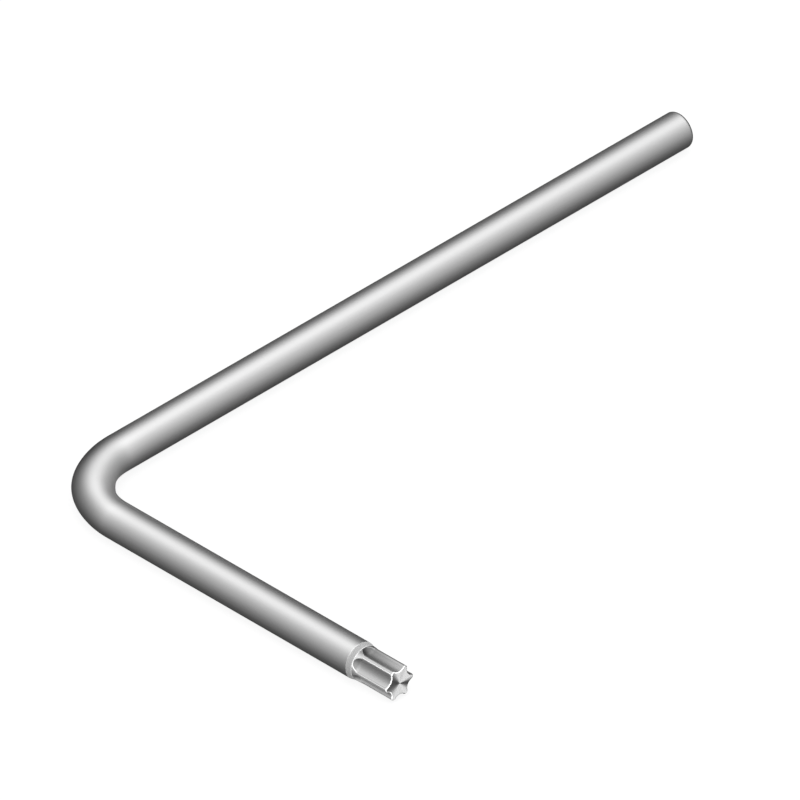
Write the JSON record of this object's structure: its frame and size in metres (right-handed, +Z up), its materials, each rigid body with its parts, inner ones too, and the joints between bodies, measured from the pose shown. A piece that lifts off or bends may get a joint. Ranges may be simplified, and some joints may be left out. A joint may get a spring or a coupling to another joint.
{
  "type": "star-drive key",
  "caption": "L-shaped hand key bent from one round steel bar: a long plain arm, and a shorter arm that steps down to a six-lobe star tip.",
  "frame": {"origin": "middle of the footprint, on the surface that the key lies on", "axes": "+X along the short arm, out of the star tip; +Y along the long arm, towards its plain end; +Z up from the surface"},
  "size_m": [0.0742, 0.133, 0.006],
  "materials": {
    "steel": "satin nickel-plated alloy steel, smooth drawn bar, with a turned end face on the star"
  },
  "bodies": {
    "root": {"star_key": "steel"}
  },
  "joints": []
}
